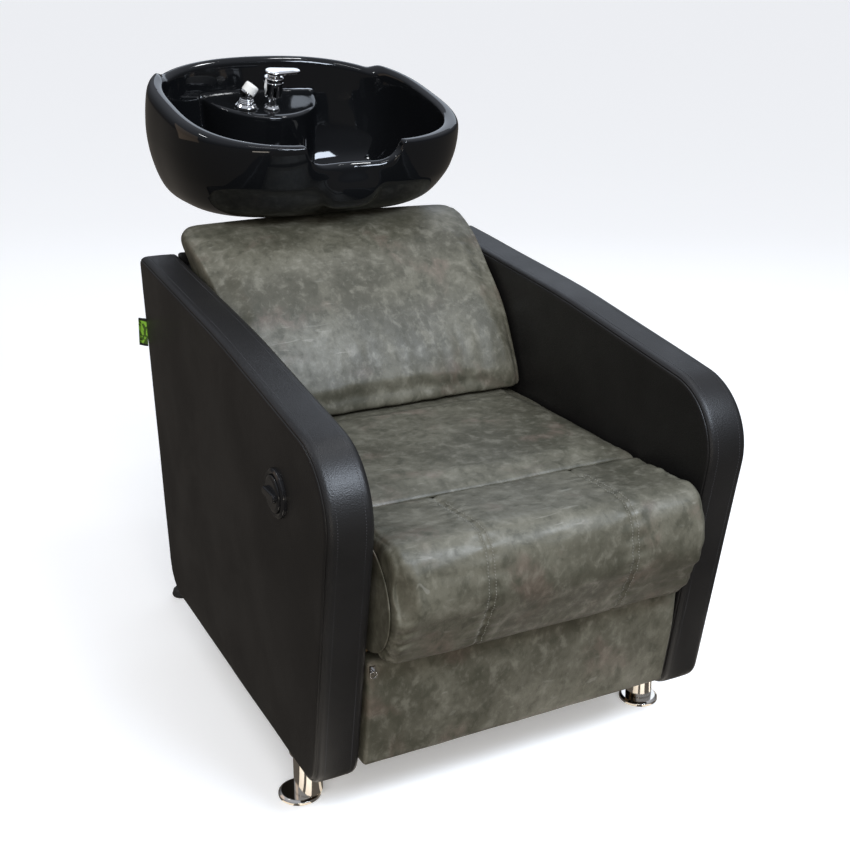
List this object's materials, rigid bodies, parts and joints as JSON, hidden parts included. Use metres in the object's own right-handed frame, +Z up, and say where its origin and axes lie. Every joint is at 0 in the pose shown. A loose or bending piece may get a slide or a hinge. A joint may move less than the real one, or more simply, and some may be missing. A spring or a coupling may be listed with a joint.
{
  "type": "shampoo backwash unit",
  "caption": "Salon shampoo backwash chair: upholstered armchair with knee roll and swing-out leg rest, and a tilting basin with mixer and hand shower on a rear stand",
  "frame": {"origin": "on the floor, under the middle of the box around the whole unit", "axes": "+X to the sitter's left, the chair faces -Y, +Z up"},
  "size_m": [0.675, 1.1224, 0.9941],
  "materials": {
    "black_leatherette": "semi-matt grained",
    "grey_leatherette": "distressed, semi-gloss",
    "plywood": "raw",
    "black_ceramic": "high gloss",
    "chrome": "polished",
    "black_steel": "powder coated",
    "zinc_steel": "zinc plated",
    "black_rubber": "matt",
    "black_plastic": "gloss"
  },
  "bodies": {
    "chair": {"arm_pad_left": "black_leatherette", "arm_core_left": "plywood", "arm_pad_right": "black_leatherette", "arm_core_right": "plywood", "side_frame_left": "plywood", "side_frame_right": "plywood", "base_rail_front": "plywood", "base_rail_rear": "plywood", "seat_rail_front": "plywood", "back_rail": "plywood", "seat_board": "plywood", "seat_cushion": "grey_leatherette", "back_cushion": "grey_leatherette", "back_board": "plywood", "rear_panel": "black_leatherette", "pivot_pin_left": "zinc_steel", "pivot_pin_right": "zinc_steel", "leg_disc_left": "chrome", "leg_tube_left": "chrome", "leg_disc_right": "chrome", "leg_tube_right": "chrome", "stand_upright_left": "black_steel", "foot_rear_left": "black_rubber", "stand_tie_left": "black_steel", "stand_upright_right": "black_steel", "foot_rear_right": "black_rubber", "stand_tie_right": "black_steel", "stand_bar_lower": "black_steel", "stand_bar_upper": "black_steel", "stand_cheek_left": "black_steel", "stand_cheek_right": "black_steel", "tilt_pin": "zinc_steel", "release_bezel": "black_plastic", "side_tag": "black_rubber"},
    "basin_unit": {"basin": "black_ceramic", "basin_bracket": "black_steel", "drain_flange": "chrome", "hair_trap": "chrome", "drain_tail": "black_plastic", "mixer_base": "chrome", "mixer_body": "chrome", "shower_cradle": "chrome", "inlet_hot": "zinc_steel", "inlet_cold": "zinc_steel"},
    "leg_rest": {"knee_roll": "grey_leatherette", "leg_rest_tube": "zinc_steel", "leg_rest_pad": "grey_leatherette", "leg_rest_board": "plywood", "roll_end_left": "grey_leatherette", "leg_rest_strap_left": "black_steel", "roll_end_right": "grey_leatherette", "leg_rest_strap_right": "black_steel", "zip_slider": "chrome"},
    "mixer_cap": {"mixer_cap": "chrome"},
    "mixer_lever": {"mixer_lever": "chrome"},
    "hand_shower": {"hand_shower": "chrome"},
    "zip_ring": {"zip_ring": "chrome"},
    "release_knob": {"release_knob": "black_plastic"}
  },
  "joints": [
    {"name": "basin_tilt", "type": "hinge", "parent": "chair", "child": "basin_unit", "pos_m": [0.0075, 0.34413, 0.705], "axis": [-1, 0, 0], "range_deg": [0, 18]},
    {"name": "leg_rest_swing", "type": "hinge", "parent": "chair", "child": "leg_rest", "pos_m": [0.0075, -0.44987, 0.368], "axis": [-1, 0, 0], "range_deg": [0, 80]},
    {"name": "mixer_swivel", "type": "hinge", "parent": "basin_unit", "child": "mixer_cap", "pos_m": [-0.01291, 0.43969, 0.96444], "axis": [0.0118, -0.2699, 0.9628], "range_deg": [-50, 50]},
    {"name": "mixer_lift", "type": "hinge", "parent": "mixer_cap", "child": "mixer_lever", "pos_m": [-0.02682, 0.43738, 0.97051], "axis": [0.042, -0.9619, -0.2702], "range_deg": [0, 22]},
    {"name": "shower_lift", "type": "slide", "parent": "basin_unit", "child": "hand_shower", "axis": [0.0118, -0.2699, 0.9628], "range_m": [0, 0.09]},
    {"name": "zip_ring_swing", "type": "hinge", "parent": "leg_rest", "child": "zip_ring", "pos_m": [-0.2445, -0.48807, 0.267], "axis": [-1, 0, 0], "range_deg": [0, 75]},
    {"name": "release_turn", "type": "hinge", "parent": "chair", "child": "release_knob", "pos_m": [-0.3225, -0.35387, 0.491], "axis": [-1, 0, 0], "range_deg": [0, 40], "stiffness_Nm_per_rad": 0.5}
  ]
}
